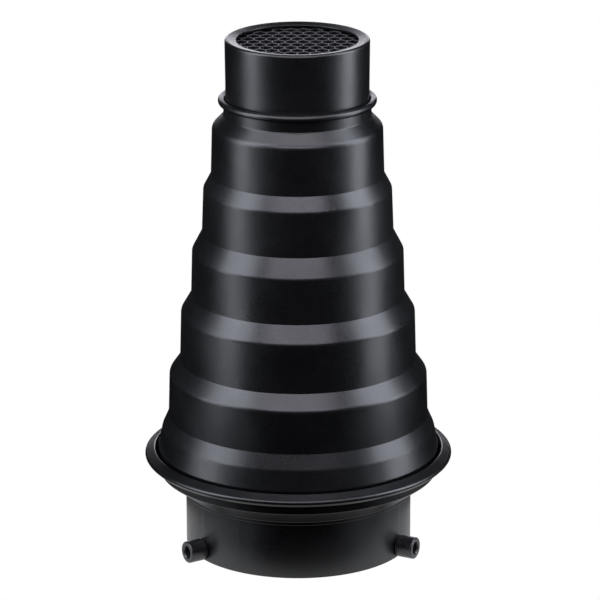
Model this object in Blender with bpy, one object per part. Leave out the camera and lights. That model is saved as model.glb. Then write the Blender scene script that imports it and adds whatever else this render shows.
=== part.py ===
"""Conical snoot with a push-in honeycomb grid, for a studio flash head.

A spun aluminium cone stands in a base dish. The dish carries a short mount neck with three
bayonet studs, which turn into the slots of a flash head. A cap with a honeycomb core plugs
into the nozzle at the small end and pulls straight out.

The origin is the centre of the neck's end face, +Z runs along the axis towards the nozzle,
and one bayonet stud points along +Y. Sizes are in millimetres until a mesh is made.
"""

import math

import bmesh
import bpy
from mathutils import Matrix, Vector

MM = 0.001
SEGMENTS = 36  # facets round each turned piece
GAP = 0.3  # between pieces that touch on the real snoot

# Mount neck, with a flange that lies on the dish's floor.
NECK_RADIUS = 49.3
NECK_WALL = 1.5
NECK_CHAMFER = 0.25
NECK_FILLET = 0.5
NECK_FLANGE_RUN = 9.0  # length of the flange, along the floor's slope

# Base dish: a collar round the neck, a sloping floor, a leaning wall and a folded rim.
DISH_SHEET = 1.2
DISH_COLLAR_FOOT = 24.6  # height of the collar's lower edge
DISH_COLLAR_HEIGHT = 1.7
DISH_FLOOR_RUN = 10.0
DISH_FLOOR_RISE = 7.3
DISH_WALL_RISE = 10.2
DISH_WALL_LEAN = 1.9
DISH_CORNER_FILLET = 1.6
RIM_LIP_RUN = 5.1  # the folded lip, out and down from the rim's crown
RIM_LIP_DROP = 2.75
RIM_CURL_RUN = 2.4  # the curled edge, back in and down
RIM_CURL_DROP = 2.3
RIM_FILLET = 1.2

# Cone shell. Each tier is a nearly straight band above a shoulder. Heights are as made, and
# the runs share out the taper that is left between the foot and the nozzle.
CONE_SHEET = 0.7
CONE_FOOT_GAP = 1.5  # dark slot between the cone's foot and the rim's crown
CONE_FOOT_ABOVE_CROWN = 0.3
CONE_FOOT_FILLET = 1.4
CONE_FLANGE_START = 2.4  # where the foot flange ends, along the floor's slope
TIERS = (  # band height, band run, shoulder rise, shoulder run, fillet; from the foot up
    (8.7, 1.75, 6.45, 2.85, 5.0),
    (18.65, 0.55, 6.6, 4.7, 3.0),
    (21.35, 0.6, 7.65, 4.45, 3.0),
    (19.7, 0.55, 8.3, 4.4, 3.0),
    (19.4, 0.75, 6.3, 3.3, 3.4),
    (21.1, 0.55, 5.1, 4.9, 3.6),
)
NOZZLE_LENGTH = 6.2  # from the top shoulder to the bead's centre
BEAD_RADIUS = 1.5

# Grid cap: a tube that slides in the nozzle, with a lip turned in at its outer end.
CAP_RADIUS = 30.75
CAP_FIT = 0.2  # clearance to the nozzle's bore
CAP_FLARE = 0.2  # the tube widens this much towards its lip
CAP_WALL = 1.15
CAP_STAND = 27.2  # height of the lip above the bead's centre
CAP_INSERTION = 12.0  # depth of the spigot below the bead's centre
CAP_LIP_WIDTH = 4.9
CAP_LIP_DROP = 0.9  # the lip dips this much towards the core
CAP_LIP_FILLET = 1.2
CAP_LEAD_IN = 0.4
CAP_SLOTS = 6  # between the spring fingers of the spigot
CAP_SLOT_WIDTH = 1.4
CAP_SLOT_LENGTH = 9.0

# Honeycomb core and the snap ring that holds it in the cap.
CORE_HEIGHT = 21.0
CORE_BAND = 0.5  # solid edge round the cells
CELL_WIDTH = 5.3
CELL_ROW_PITCH = 5.1
CELL_WALL = 0.32
CELL_ROW_OFFSET = 2.05
CORE_TURN = math.radians(-2.5)
SMALLEST_CELL = 4.0  # square millimetres: a cut cell under this is left out
RING_WIRE_RADIUS = 0.9
RING_OPENING = math.radians(16)

# Bayonet studs, and the screws and washers that hold them from inside the neck.
STUDS = 3
STUD_RADIUS = 4.75
STUD_LENGTH = 8.1
STUD_FOOT = 0.15  # clear height under the stud
STUD_CHAMFER = 0.5
STUD_BORE = 2.6
STUD_MOUTH = 0.4  # countersink at the mouth of the bore
STUD_FACETS = 20
SCREW_RADIUS = STUD_BORE - GAP
SCREW_REACH = 5.0  # into the stud
SCREW_HEAD_RADIUS = 4.3
SCREW_HEAD_HEIGHT = 2.3
SCREW_SOCKET = 1.6  # half the socket's width across flats
SCREW_SOCKET_DEPTH = 1.3
WASHER_RADIUS = 4.5
WASHER_THICKNESS = 0.6

# Flush rivets through the floor, the neck's flange and the cone's flange, in line with the studs.
RIVETS = 3
RIVET_RADIUS = 1.6
RIVET_HEAD_RADIUS = 2.7
RIVET_HEAD_DEPTH = 1.1
RIVET_RUN = 5.4  # from the collar, along the floor's slope
RIVET_FORMED_RADIUS = 2.6
RIVET_FORMED_HEIGHT = 1.2
RIVET_FACETS = 12


def clear_scene():
    """Removes whatever the scene holds."""
    for obj in list(bpy.data.objects):
        bpy.data.objects.remove(obj, do_unlink=True)


def make_material(name, colour, roughness, metallic):
    """A plain Principled material."""
    made = bpy.data.materials.new(name)
    made.use_nodes = True
    shader = made.node_tree.nodes["Principled BSDF"]
    shader.inputs["Base Color"].default_value = (*colour, 1.0)
    shader.inputs["Roughness"].default_value = roughness
    shader.inputs["Metallic"].default_value = metallic
    return made


# Outlines are lists of (radius, height) points.


def rounded(corners, steps=2):
    """The path through (radius, height, fillet) corners, with an arc at each fillet."""
    path = []
    for i, (radius, height, fillet) in enumerate(corners):
        if i in (0, len(corners) - 1) or fillet <= 0:
            path.append(Vector((radius, height)))
            continue
        corner = Vector((radius, height))
        back = Vector(corners[i - 1][:2]) - corner
        onward = Vector(corners[i + 1][:2]) - corner
        half = back.angle(onward) / 2
        reach = min(fillet / math.tan(half), 0.48 * back.length, 0.48 * onward.length)
        start = corner + back.normalized() * reach
        end = corner + onward.normalized() * reach
        middle = (back.normalized() + onward.normalized()).normalized()
        centre = corner + middle * (reach / math.cos(half))
        sweep = (start - centre).angle_signed(end - centre)
        for step in range(steps + 1):
            turn = Matrix.Rotation(-sweep * step / steps, 2)
            path.append(centre + turn @ (start - centre))
    return path


def beside(path, distance):
    """The path parallel to this one, at a distance to the left of its direction."""
    lefts = []
    for here, there in zip(path, path[1:]):
        along = (there - here).normalized()
        lefts.append(Vector((-along.y, along.x)))
    made = []
    for i, point in enumerate(path):
        before = lefts[max(i - 1, 0)]
        after = lefts[min(i, len(lefts) - 1)]
        mitre = (before + after).normalized()
        made.append(point + mitre * (distance / mitre.dot(after)))
    return made


def arc(centre, radius, start, end, steps):
    """Points on an arc, from one angle to another."""
    turns = [start + (end - start) * i / steps for i in range(steps + 1)]
    return [centre + radius * Vector((math.cos(a), math.sin(a))) for a in turns]


def add_object(name, mesh_source, material):
    """An object from a bmesh, in metres and with smooth faces between its edges."""
    bmesh.ops.recalc_face_normals(mesh_source, faces=mesh_source.faces)
    bmesh.ops.scale(mesh_source, vec=(MM, MM, MM), verts=mesh_source.verts)
    mesh = bpy.data.meshes.new(name)
    mesh_source.to_mesh(mesh)
    mesh_source.free()
    mesh.shade_smooth()
    mesh.set_sharp_from_angle(angle=math.radians(30))
    if material:
        mesh.materials.append(material)
    obj = bpy.data.objects.new(name, mesh)
    bpy.context.scene.collection.objects.link(obj)
    return obj


def turned_mesh(outline, facets=SEGMENTS):
    """A bmesh turned from a closed outline, or from an open one that ends on the axis."""
    made = bmesh.new()
    points = [made.verts.new((p[0], 0.0, p[1])) for p in outline]
    pairs = list(zip(points, points[1:]))
    if outline[0][0] > 0:
        pairs.append((points[-1], points[0]))
    edges = [made.edges.new(pair) for pair in pairs]
    bmesh.ops.spin(
        made,
        geom=points + edges,
        cent=(0, 0, 0),
        axis=(0, 0, 1),
        angle=math.tau,
        steps=facets,
        use_merge=True,
    )
    bmesh.ops.remove_doubles(made, verts=made.verts, dist=1e-4)
    return made


def cut(obj, cutter):
    """Cuts one piece by another with a live Boolean modifier."""
    modifier = obj.modifiers.new(cutter.name, "BOOLEAN")
    modifier.operation = "DIFFERENCE"
    modifier.object = cutter


def add_cutter(name, mesh_source):
    """A hidden helper that cuts other pieces."""
    cutter = add_object(name, mesh_source, None)
    cutter.hide_render = True
    cutter.display_type = "WIRE"
    return cutter


def joined(sources):
    """One bmesh that holds all of these, which don't touch."""
    made = bmesh.new()
    for source in sources:
        held = bpy.data.meshes.new("held")
        source.to_mesh(held)
        source.free()
        made.from_mesh(held)
        bpy.data.meshes.remove(held)
    return made


def turn_to(source, place, places):
    """Turns a piece made on the +Y side to one of the equal places round the axis."""
    turn = Matrix.Rotation(math.tau * place / places, 3, "Z")
    bmesh.ops.rotate(source, cent=(0, 0, 0), matrix=turn, verts=source.verts)
    return source


def turned_round(source, count):
    """One bmesh that holds this one at equal places round the axis."""
    copies = [turn_to(source.copy(), i, count) for i in range(count)]
    source.free()
    return joined(copies)


# The base: where the floor and the wall run, seen from the axis outwards.

COLLAR_RADIUS = NECK_RADIUS + GAP
FLOOR_START = Vector((COLLAR_RADIUS + DISH_SHEET, DISH_COLLAR_FOOT + DISH_COLLAR_HEIGHT))
FLOOR_END = FLOOR_START + Vector((DISH_FLOOR_RUN, DISH_FLOOR_RISE))
FLOOR_ALONG = (FLOOR_END - FLOOR_START).normalized()
FLOOR_UP = Vector((-FLOOR_ALONG.y, FLOOR_ALONG.x))
NECK_LEVEL = DISH_SHEET + GAP  # the layers on the floor, measured square to it
CONE_LEVEL = NECK_LEVEL + NECK_WALL + GAP
RIM_CROWN = FLOOR_END + Vector((DISH_WALL_LEAN, DISH_WALL_RISE))
CONE_FOOT = Vector((RIM_CROWN.x - CONE_FOOT_GAP, RIM_CROWN.y + CONE_FOOT_ABOVE_CROWN))
NOZZLE_BORE = CAP_RADIUS + CAP_FIT
BEAD_HEIGHT = CONE_FOOT.y + sum(t[0] + t[2] for t in TIERS) + NOZZLE_LENGTH
CAP_TOP = BEAD_HEIGHT + CAP_STAND


def on_floor(run, level=0.0):
    """A point this far up the floor's slope and this far above its underside."""
    return FLOOR_START + run * FLOOR_ALONG + level * FLOOR_UP


def floor_at_radius(radius, level):
    """The point at a radius on the layer at this level above the floor's underside."""
    base = on_floor(0.0, level)
    return base + FLOOR_ALONG * ((radius - base.x) / FLOOR_ALONG.x)


def crossing(point, along, other, other_along):
    """Where two straight lines cross."""
    offset = other - point
    turn = along.x * other_along.y - along.y * other_along.x
    return point + along * ((offset.x * other_along.y - offset.y * other_along.x) / turn)


def wall_foot(level, inset):
    """Where the layer at a level meets the line this far inside the dish's wall."""
    wall = (RIM_CROWN - FLOOR_END).normalized()
    inward = Vector((-wall.y, wall.x)) * inset
    return crossing(on_floor(0.0, level), FLOOR_ALONG, RIM_CROWN + inward, wall)


def rivet_holes():
    """The cutter for all the rivet holes, countersunk from below."""
    wide = RIVET_HEAD_RADIUS + GAP
    narrow = RIVET_RADIUS + GAP
    past = 1.0
    top = CONE_LEVEL + CONE_SHEET + past
    outline = [
        (0, -past),
        (wide, -past),
        (wide, 0),
        (narrow, RIVET_HEAD_DEPTH),
        (narrow, top),
        (0, top),
    ]
    hole = turned_mesh(outline, RIVET_FACETS)
    place_square_to_floor(hole)
    return add_cutter("rivet_holes", turned_round(hole, RIVETS))


def place_square_to_floor(source):
    """Turns a piece made along Z to stand square to the floor on the +Y side."""
    tilt = Matrix.Rotation(math.atan2(FLOOR_ALONG.y, FLOOR_ALONG.x), 3, "X")
    bmesh.ops.rotate(source, cent=(0, 0, 0), matrix=tilt, verts=source.verts)
    foot = on_floor(RIVET_RUN)
    bmesh.ops.translate(source, vec=(0, foot.x, foot.y), verts=source.verts)


def build_dish(coat, holes):
    """The base dish: collar, floor, wall and folded rim, all one sheet."""
    inner_floor = floor_at_radius(COLLAR_RADIUS, DISH_SHEET)
    inner_corner = wall_foot(DISH_SHEET, 0.0)
    lip_end = RIM_CROWN + Vector((RIM_LIP_RUN, -RIM_LIP_DROP))
    curl_end = lip_end - Vector((RIM_CURL_RUN, RIM_CURL_DROP))
    upper = rounded(
        [
            (COLLAR_RADIUS, DISH_COLLAR_FOOT, 0),
            (*inner_floor, 0.6),
            (*inner_corner, DISH_CORNER_FILLET - DISH_SHEET / 2),
            (*RIM_CROWN, DISH_SHEET + 0.2),
            (*lip_end, RIM_FILLET),
            (*curl_end, 0),
        ]
    )
    outline = upper + beside(upper, -DISH_SHEET)[::-1]
    cut(add_object("base_dish", turned_mesh(outline), coat), holes)


def screw_holes():
    """The cutter for the screw holes through the neck."""
    hole = turned_mesh(
        [
            (0, NECK_RADIUS - 3 * NECK_WALL),
            (SCREW_RADIUS + GAP, NECK_RADIUS - 3 * NECK_WALL),
            (SCREW_RADIUS + GAP, NECK_RADIUS + NECK_WALL),
            (0, NECK_RADIUS + NECK_WALL),
        ],
        STUD_FACETS,
    )
    lay_along_y(hole)
    return add_cutter("screw_holes", turned_round(hole, STUDS))


def lay_along_y(source):
    """Turns a piece made along Z to point along +Y, at the studs' height."""
    turn = Matrix.Rotation(-math.pi / 2, 3, "X")
    bmesh.ops.rotate(source, cent=(0, 0, 0), matrix=turn, verts=source.verts)
    height = STUD_FOOT + STUD_RADIUS
    bmesh.ops.translate(source, vec=(0, 0, height), verts=source.verts)


def build_neck(coat, rivets, screws):
    """The mount neck: a tube whose top is flanged out over the dish's floor."""
    inner_radius = NECK_RADIUS - NECK_WALL
    bend = floor_at_radius(NECK_RADIUS, NECK_LEVEL)
    inner_bend = floor_at_radius(inner_radius, NECK_LEVEL + NECK_WALL)
    outer = rounded(
        [
            (NECK_RADIUS - NECK_CHAMFER, 0, 0),
            (NECK_RADIUS, NECK_CHAMFER, 0),
            (*bend, NECK_FILLET),
            (*on_floor(NECK_FLANGE_RUN, NECK_LEVEL), 0),
        ]
    )
    inner = rounded(
        [
            (inner_radius + NECK_CHAMFER, 0, 0),
            (inner_radius, NECK_CHAMFER, 0),
            (*inner_bend, NECK_FILLET + NECK_WALL),
            (*on_floor(NECK_FLANGE_RUN, NECK_LEVEL + NECK_WALL), 0),
        ]
    )
    neck = add_object("mount_neck", turned_mesh(outer + inner[::-1]), coat)
    cut(neck, rivets)
    cut(neck, screws)


def cone_corners():
    """The cone's outer corners from its foot to its nozzle, with fillets."""
    nozzle_radius = NOZZLE_BORE + CONE_SHEET
    taper = CONE_FOOT.x - nozzle_radius
    share = taper / sum(t[1] + t[3] for t in TIERS)
    radius, height = CONE_FOOT
    corners = [(radius, height, CONE_FOOT_FILLET)]
    for band_height, band_run, shoulder_rise, shoulder_run, fillet in TIERS:
        radius -= band_run * share
        height += band_height
        corners.append((radius, height, fillet))
        radius -= shoulder_run * share
        height += shoulder_rise
        corners.append((radius, height, 0))
    return corners


def build_cone(coat, holes):
    """The spun cone: foot flange, tiers, nozzle and rolled bead."""
    tuck = wall_foot(CONE_LEVEL, CONE_FOOT_GAP)
    flange_end = on_floor(CONE_FLANGE_START, CONE_LEVEL)
    nozzle_radius = NOZZLE_BORE + CONE_SHEET
    wall = rounded(
        [
            (*flange_end, 0),
            (*tuck, CONE_FOOT_FILLET),
            *cone_corners(),
            (nozzle_radius, BEAD_HEIGHT - BEAD_RADIUS * 0.9, 0),
        ],
        steps=1,
    )
    inner = beside(wall, CONE_SHEET)
    bead_centre = Vector((NOZZLE_BORE + BEAD_RADIUS, BEAD_HEIGHT))
    bead_foot = -math.acos((nozzle_radius - bead_centre.x) / BEAD_RADIUS)
    bead = arc(bead_centre, BEAD_RADIUS, bead_foot, math.pi, 7)
    outline = wall[:-1] + bead + inner[:-1][::-1]
    cut(add_object("cone_shell", turned_mesh(outline), coat), holes)


def build_stud_set(coat, steel):
    """Three hollow studs round the neck, each with a screw and a washer from inside."""
    stud_root = NECK_RADIUS + GAP
    stud_tip = NECK_RADIUS + STUD_LENGTH
    inner_wall = math.sqrt((NECK_RADIUS - NECK_WALL) ** 2 - WASHER_RADIUS**2)
    washer_seat = inner_wall - GAP
    head_seat = washer_seat - WASHER_THICKNESS - GAP
    head_top = head_seat - SCREW_HEAD_HEIGHT
    stud = [
        (STUD_BORE, stud_root),
        (STUD_RADIUS, stud_root),
        (STUD_RADIUS, stud_tip - STUD_CHAMFER),
        (STUD_RADIUS - STUD_CHAMFER, stud_tip),
        (STUD_BORE + STUD_MOUTH, stud_tip),
        (STUD_BORE, stud_tip - STUD_MOUTH),
    ]
    screw = [
        (0, head_top),
        (SCREW_HEAD_RADIUS * 0.6, head_top),
        (SCREW_HEAD_RADIUS, head_top + SCREW_HEAD_HEIGHT * 0.6),
        (SCREW_HEAD_RADIUS, head_seat),
        (SCREW_RADIUS, head_seat),
        (SCREW_RADIUS, stud_root + SCREW_REACH - GAP),
        (SCREW_RADIUS - GAP, stud_root + SCREW_REACH),
        (0, stud_root + SCREW_REACH),
    ]
    washer = [
        (STUD_BORE, washer_seat - WASHER_THICKNESS),
        (WASHER_RADIUS, washer_seat - WASHER_THICKNESS),
        (WASHER_RADIUS, washer_seat),
        (STUD_BORE, washer_seat),
    ]
    socket_radius = SCREW_SOCKET / math.cos(math.pi / 6)
    socket = [
        (0, head_top - 1),
        (socket_radius, head_top - 1),
        (socket_radius, head_top + SCREW_SOCKET_DEPTH),
        (0, head_top + SCREW_SOCKET_DEPTH),
    ]
    for i in range(STUDS):
        cutter = add_cutter(f"socket_{i + 1}", radial(socket, 6, i))
        add_object(f"bayonet_stud_{i + 1}", radial(stud, STUD_FACETS, i), coat)
        cut(add_object(f"stud_screw_{i + 1}", radial(screw, STUD_FACETS, i), steel), cutter)
        add_object(f"stud_washer_{i + 1}", radial(washer, STUD_FACETS, i), steel)


def radial(outline, facets, place):
    """A piece turned about a stud's own axis, at one of the studs' places."""
    piece = turned_mesh(outline, facets)
    lay_along_y(piece)
    return turn_to(piece, place, STUDS)


def build_rivets(coat):
    """Flush rivets, each with its formed head inside the dish."""
    seat = CONE_LEVEL + CONE_SHEET + GAP
    outline = [
        (0, 0),
        (RIVET_HEAD_RADIUS, 0),
        (RIVET_RADIUS, RIVET_HEAD_DEPTH),
        (RIVET_RADIUS, seat),
        (RIVET_FORMED_RADIUS, seat),
        (RIVET_FORMED_RADIUS * 0.8, seat + RIVET_FORMED_HEIGHT * 0.7),
        (0, seat + RIVET_FORMED_HEIGHT),
    ]
    for i in range(RIVETS):
        rivet = turned_mesh(outline, RIVET_FACETS)
        place_square_to_floor(rivet)
        add_object(f"floor_rivet_{i + 1}", turn_to(rivet, i, RIVETS), coat)


def cap_slots():
    """The cutter for the slots between the spigot's fingers."""
    foot = BEAD_HEIGHT - CAP_INSERTION
    slot = bmesh.new()
    bmesh.ops.create_cube(slot, size=1.0)
    size = (CAP_SLOT_WIDTH, 4 * CAP_WALL, 2 * CAP_SLOT_LENGTH)
    bmesh.ops.scale(slot, vec=size, verts=slot.verts)
    bmesh.ops.translate(slot, vec=(0, CAP_RADIUS - CAP_WALL / 2, foot), verts=slot.verts)
    return add_cutter("cap_slots", turned_round(slot, CAP_SLOTS))


def build_cap(coat):
    """The grid cap: spigot with spring fingers, tube and flat lip."""
    foot = BEAD_HEIGHT - CAP_INSERTION
    flared = CAP_RADIUS + CAP_FLARE
    outer = rounded(
        [
            (CAP_RADIUS - CAP_LEAD_IN, foot, 0),
            (CAP_RADIUS, foot + 2 * CAP_LEAD_IN, 0),
            (CAP_RADIUS, BEAD_HEIGHT + CAP_STAND / 2, 0),
            (flared, CAP_TOP, CAP_LIP_FILLET),
            (flared - CAP_LIP_WIDTH, CAP_TOP - CAP_LIP_DROP, 0),
        ]
    )
    inner = beside(outer, CAP_WALL)
    inner[0] = Vector((inner[1].x, foot))
    cut(add_object("grid_cap", turned_mesh(outer + inner[::-1]), coat), cap_slots())


def clipped(polygon, radius):
    """A convex polygon cut back to a circle, which is taken as a facetted ring."""
    for i in range(SEGMENTS):
        outward = Vector((math.cos(math.tau * i / SEGMENTS), math.sin(math.tau * i / SEGMENTS)))
        kept = []
        for here, there in zip(polygon, polygon[1:] + polygon[:1]):
            depth, next_depth = (radius - p.dot(outward) for p in (here, there))
            if depth >= 0:
                kept.append(here)
            if depth * next_depth < 0:
                kept.append(here.lerp(there, depth / (depth - next_depth)))
        polygon = kept
        if not polygon:
            break
    return polygon


def area_of(polygon):
    """The polygon's area."""
    pairs = zip(polygon, polygon[1:] + polygon[:1])
    return abs(sum(a.x * b.y - a.y * b.x for a, b in pairs)) / 2


def cell_polygons(radius):
    """The hollow of each honeycomb cell inside a radius.

    Each foil wall has the same length, so the stretch of the core follows from its pitch.
    """
    half = CELL_WIDTH / 2
    peak = (CELL_ROW_PITCH**2 - half**2) / (2 * CELL_ROW_PITCH)
    side = (CELL_ROW_PITCH - peak) / 2
    shrink = 1 - CELL_WALL / CELL_WIDTH
    hexagon = [
        Vector((0, side + peak)),
        Vector((-half, side)),
        Vector((-half, -side)),
        Vector((0, -side - peak)),
        Vector((half, -side)),
        Vector((half, side)),
    ]
    rows = int(radius / CELL_ROW_PITCH) + 2
    columns = int(radius / CELL_WIDTH) + 2
    found = []
    for row in range(-rows, rows + 1):
        shift = half if row % 2 == 0 else 0.0
        for column in range(-columns, columns + 1):
            centre = Vector((column * CELL_WIDTH + shift, row * CELL_ROW_PITCH + CELL_ROW_OFFSET))
            cell = clipped([centre + shrink * p for p in hexagon], radius)
            if len(cell) > 2 and area_of(cell) > SMALLEST_CELL:
                found.append(cell)
    return found


def build_core(foil):
    """The honeycomb core: a disc with the cells cut through it."""
    radius = CAP_RADIUS - CAP_WALL - GAP
    top = CAP_TOP - CAP_LIP_DROP - CAP_WALL - GAP
    foot = top - CORE_HEIGHT
    disc = turned_mesh([(0, foot), (radius, foot), (radius, top), (0, top)])
    cells = bmesh.new()
    for polygon in cell_polygons(radius - CORE_BAND):
        ring = [cells.verts.new((p.x, p.y, foot - 1)) for p in polygon]
        base = cells.faces.new(ring)
        raised = bmesh.ops.extrude_face_region(cells, geom=[base])["geom"]
        lifted = [v for v in raised if isinstance(v, bmesh.types.BMVert)]
        bmesh.ops.translate(cells, vec=(0, 0, CORE_HEIGHT + 2), verts=lifted)
    turn = Matrix.Rotation(CORE_TURN, 3, "Z")
    bmesh.ops.rotate(cells, cent=(0, 0, 0), matrix=turn, verts=cells.verts)
    cut(add_object("honeycomb_core", disc, foil), add_cutter("cells", cells))
    return foot


def build_ring(steel, core_foot):
    """The split snap ring under the core."""
    radius = CAP_RADIUS - CAP_WALL - GAP - RING_WIRE_RADIUS
    height = core_foot - GAP - RING_WIRE_RADIUS
    ring = bmesh.new()
    section = arc(Vector((radius, height)), RING_WIRE_RADIUS, 0, math.tau, 6)[:-1]
    points = [ring.verts.new((p.x, 0, p.y)) for p in section]
    start = ring.faces.new(points)
    sweep = math.tau - RING_OPENING
    bmesh.ops.spin(ring, geom=[start], cent=(0, 0, 0), axis=(0, 0, 1), angle=sweep, steps=SEGMENTS - 2)
    turn = Matrix.Rotation(RING_OPENING / 2 + math.pi / 2, 3, "Z")
    bmesh.ops.rotate(ring, cent=(0, 0, 0), matrix=turn, verts=ring.verts)
    add_object("retaining_ring", ring, steel)


def main():
    """Builds the snoot from the neck up."""
    clear_scene()
    coat = make_material("satin_black_coat", (0.022, 0.023, 0.026), 0.42, 0.0)
    foil = make_material("black_foil", (0.02, 0.02, 0.022), 0.5, 0.3)
    steel = make_material("blackened_steel", (0.05, 0.05, 0.055), 0.4, 0.9)
    rivets = rivet_holes()
    build_dish(coat, rivets)
    build_neck(coat, rivets, screw_holes())
    build_cone(coat, rivets)
    build_stud_set(coat, steel)
    build_rivets(coat)
    build_cap(coat)
    core_foot = build_core(foil)
    build_ring(steel, core_foot)


main()
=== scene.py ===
"""Looks for a stepped conical snoot with a honeycomb grid cap and a bayonet neck.

Every piece is a finely turned version of its CAD node and stands in that node's place.
Sizes are in millimetres until a mesh is made. +Z runs along the axis from the neck to the grid.
"""

import logging
import math
from dataclasses import dataclass, field
from enum import Enum
from typing import Iterable, Optional, Sequence

import bmesh
import bpy
from bpy.types import Material, Node, NodeSocket, NodeTree, Object
from mathutils import Matrix, Vector

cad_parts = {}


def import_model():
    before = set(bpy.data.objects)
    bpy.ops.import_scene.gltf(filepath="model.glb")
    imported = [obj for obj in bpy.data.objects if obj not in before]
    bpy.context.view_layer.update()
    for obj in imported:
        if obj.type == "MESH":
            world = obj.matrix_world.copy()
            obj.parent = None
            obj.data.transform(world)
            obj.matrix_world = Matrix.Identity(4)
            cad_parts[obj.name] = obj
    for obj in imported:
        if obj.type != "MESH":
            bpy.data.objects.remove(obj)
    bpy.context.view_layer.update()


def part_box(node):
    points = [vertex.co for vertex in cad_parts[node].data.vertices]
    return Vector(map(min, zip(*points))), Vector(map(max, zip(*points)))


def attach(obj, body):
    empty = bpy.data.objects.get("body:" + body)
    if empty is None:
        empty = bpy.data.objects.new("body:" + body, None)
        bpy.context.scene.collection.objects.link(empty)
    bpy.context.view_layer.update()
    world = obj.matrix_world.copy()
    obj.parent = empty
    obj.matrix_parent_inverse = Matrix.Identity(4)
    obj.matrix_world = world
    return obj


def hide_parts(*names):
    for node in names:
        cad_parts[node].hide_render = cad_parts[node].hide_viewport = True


LOG = logging.getLogger("snoot")
MM = 0.001
X_AXIS = Vector((1.0, 0.0, 0.0))
Y_AXIS = Vector((0.0, 1.0, 0.0))
Z_AXIS = Vector((0.0, 0.0, 1.0))


class Body(Enum):
    """The rigid bodies that pieces ride on."""

    SNOOT = "snoot"
    CAP = "grid_cap"


class Facets(Enum):
    """How finely a piece is turned."""

    SMALL = 48
    PIN = 72
    LARGE = 192


class Slot(Enum):
    """The record's material slots."""

    NECK = "coated_neck"
    DISH = "coated_dish"
    CONE = "coated_cone"
    STUD = "coated_stud"
    SCREW = "blackened_steel"
    WASHER = "zinc_steel"
    RIVET = "coated_rivet"
    CAP = "coated_cap"
    FOIL = "black_foil"
    RING = "ring_steel"


# Outlines


@dataclass(frozen=True)
class Corner:
    """A corner of an outline.

    Args:
        radius: distance from the turning axis.
        height: distance along the turning axis.
        fillet: radius of the corner's rounding, 0 for a sharp corner.
    """

    radius: float
    height: float
    fillet: float = 0.0

    @property
    def point(self) -> Vector:
        """The corner as a (radius, height) point."""
        return Vector((self.radius, self.height))


def rounded(corners: Sequence[Corner], step: float = 6.0, hold: float = 0.25) -> list[Vector]:
    """The path through the corners, with an arc at each fillet.

    Args:
        corners: the path's corners in order.
        step: most degrees that one facet of an arc turns.
        hold: distance from an arc to the ring that keeps the straight beyond it flat.

    Returns:
        The path as (radius, height) points.
    """
    path = [corners[0].point]
    for before, here, after in zip(corners, corners[1:], corners[2:]):
        if here.fillet <= 0:
            path.append(here.point)
            continue
        back = before.point - here.point
        onward = after.point - here.point
        half = back.angle(onward) / 2
        reach = min(here.fillet / math.tan(half), 0.46 * back.length, 0.46 * onward.length)
        start = here.point + back.normalized() * reach
        end = here.point + onward.normalized() * reach
        middle = (back.normalized() + onward.normalized()).normalized()
        centre = here.point + middle * (reach / math.cos(half))
        sweep = (start - centre).angle_signed(end - centre)
        count = max(2, math.ceil(math.degrees(abs(sweep)) / step))
        if back.length > 2 * (reach + hold):
            path.append(start + back.normalized() * hold)
        for i in range(count + 1):
            turn = Matrix.Rotation(-sweep * i / count, 2)
            path.append(centre + turn @ (start - centre))
        if onward.length > 2 * (reach + hold):
            path.append(end + onward.normalized() * hold)
    path.append(corners[-1].point)
    return path


def beside(path: Sequence[Vector], distance: float) -> list[Vector]:
    """The path parallel to this one, at a distance to the left of its direction."""
    lefts = []
    for here, there in zip(path, path[1:]):
        along = (there - here).normalized()
        lefts.append(Vector((-along.y, along.x)))
    made = []
    for i, point in enumerate(path):
        before = lefts[max(i - 1, 0)]
        after = lefts[min(i, len(lefts) - 1)]
        mitre = (before + after).normalized()
        made.append(point + mitre * (distance / mitre.dot(after)))
    return made


def arc(centre: Vector, radius: float, start: float, end: float, steps: int) -> list[Vector]:
    """Points on an arc about a (radius, height) centre, from one angle to another."""
    turns = [start + (end - start) * i / steps for i in range(steps + 1)]
    return [centre + radius * Vector((math.cos(a), math.sin(a))) for a in turns]


# Modelling by operators


@dataclass(frozen=True)
class Spindle:
    """An axis that pieces are turned about.

    Args:
        origin: a point on the axis, in millimetres.
        radial: the direction in which an outline's radius is drawn.
        axis: the direction in which an outline's height is drawn.
    """

    origin: Vector = field(default_factory=lambda: Vector((0.0, 0.0, 0.0)))
    radial: Vector = field(default_factory=lambda: X_AXIS.copy())
    axis: Vector = field(default_factory=lambda: Z_AXIS.copy())

    def place(self, point: Vector) -> Vector:
        """An outline's point in space, in metres."""
        return (self.origin + self.radial * point.x + self.axis * point.y) * MM


def deselect_everything() -> None:
    """Leaves no object selected, in object mode."""
    if bpy.context.mode != "OBJECT":
        bpy.ops.object.mode_set(mode="OBJECT")
    bpy.ops.object.select_all(action="DESELECT")


def pick(*pieces: Object) -> None:
    """Selects only these objects and makes the first one active."""
    deselect_everything()
    for piece in pieces:
        piece.select_set(True)
    bpy.context.view_layer.objects.active = pieces[0]


def edit(piece: Object) -> bmesh.types.BMesh:
    """Opens a piece for editing with nothing selected, and returns its edit mesh."""
    pick(piece)
    bpy.ops.object.mode_set(mode="EDIT")
    bpy.ops.mesh.select_mode(type="VERT")
    bpy.ops.mesh.select_all(action="DESELECT")
    return bmesh.from_edit_mesh(piece.data)


def start_wire(name: str, place: Vector) -> Object:
    """A new piece, open for editing, that is one selected vertex at a place in metres."""
    deselect_everything()
    bpy.ops.mesh.primitive_plane_add(size=MM)
    piece = bpy.context.object
    piece.name = name
    bpy.ops.object.mode_set(mode="EDIT")
    bpy.ops.mesh.select_mode(type="VERT")
    bpy.ops.mesh.select_all(action="SELECT")
    bpy.ops.mesh.merge(type="CENTER")
    bpy.ops.transform.translate(value=place)
    return piece


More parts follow.
